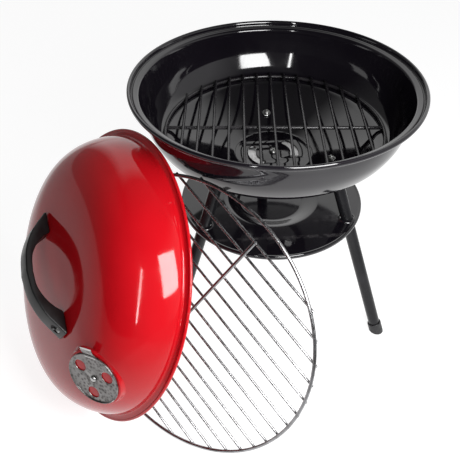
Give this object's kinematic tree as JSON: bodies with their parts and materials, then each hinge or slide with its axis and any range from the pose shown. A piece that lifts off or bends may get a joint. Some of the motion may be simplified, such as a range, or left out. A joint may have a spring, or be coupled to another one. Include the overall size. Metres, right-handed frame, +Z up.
{
  "type": "kettle charcoal grill",
  "caption": "Portable round charcoal grill on splayed tube legs with an ash tray, its domed lid and wire cooking grid taken off and leaning on the bowl.",
  "frame": {"origin": "on the floor under the middle of the part's footprint", "axes": "+Z up, +Y towards the rear leg, +X towards the right leg with the lid on the -X side"},
  "size_m": [0.528, 0.499, 0.371],
  "materials": {
    "black_enamel": "deep gloss black vitreous enamel on pressed steel",
    "red_enamel": "deep gloss red vitreous enamel on pressed steel",
    "leg_coat": "gloss black coating on steel tube",
    "cap_plastic": "moulded black plastic",
    "black_plastic": "moulded black phenolic plastic, half gloss",
    "grate_wire": "black enamelled steel wire",
    "chrome_wire": "bright chromed steel wire",
    "damper_steel": "satin steel plate",
    "zinc": "bright zinc plate"
  },
  "bodies": {
    "base": {"bowl": "black_enamel", "ash_tray": "black_enamel", "leg_rear": "leg_coat", "leg_insert_rear": "zinc", "leg_bolt_rear": "zinc", "leg_washer_rear": "zinc", "leg_cap_rear": "cap_plastic", "leg_left": "leg_coat", "leg_insert_left": "zinc", "leg_bolt_left": "zinc", "leg_washer_left": "zinc", "leg_cap_left": "cap_plastic", "leg_right": "leg_coat", "leg_insert_right": "zinc", "leg_bolt_right": "zinc", "leg_washer_right": "zinc", "leg_cap_right": "cap_plastic", "bowl_damper_bolt": "zinc", "bowl_damper_nut": "zinc"},
    "lid": {"lid": "red_enamel", "lid_handle": "black_plastic", "handle_screw_lower": "zinc", "handle_nut_lower": "zinc", "handle_screw_upper": "zinc", "handle_nut_upper": "zinc", "lid_damper_rivet": "zinc"},
    "cooking_grid": {"cooking_grid": "chrome_wire"},
    "charcoal_grate": {"charcoal_grate": "grate_wire"},
    "bowl_damper": {"bowl_damper": "zinc"},
    "lid_damper": {"lid_damper": "damper_steel"}
  },
  "joints": [
    {"name": "lid_lift", "type": "slide", "parent": "base", "child": "lid", "axis": [-0.8163, -0.3832, 0.4322], "range_m": [0, 0.15]},
    {"name": "grid_pull", "type": "slide", "parent": "base", "child": "cooking_grid", "axis": [0.7593, -0.6508, 0], "range_m": [0, 0.2]},
    {"name": "grate_lift", "type": "slide", "parent": "base", "child": "charcoal_grate", "axis": [0, 0, 1], "range_m": [0, 0.12]},
    {"name": "bowl_damper_turn", "type": "hinge", "parent": "base", "child": "bowl_damper", "pos_m": [0.08404, 0.05955, 0.2655], "axis": [0, 0, 1], "range_deg": [-18, 72]},
    {"name": "lid_damper_turn", "type": "hinge", "parent": "lid", "child": "lid_damper", "pos_m": [-0.14284, -0.19661, 0.15273], "axis": [-0.5188, -0.8308, 0.2017], "range_deg": [-60, 60]}
  ]
}
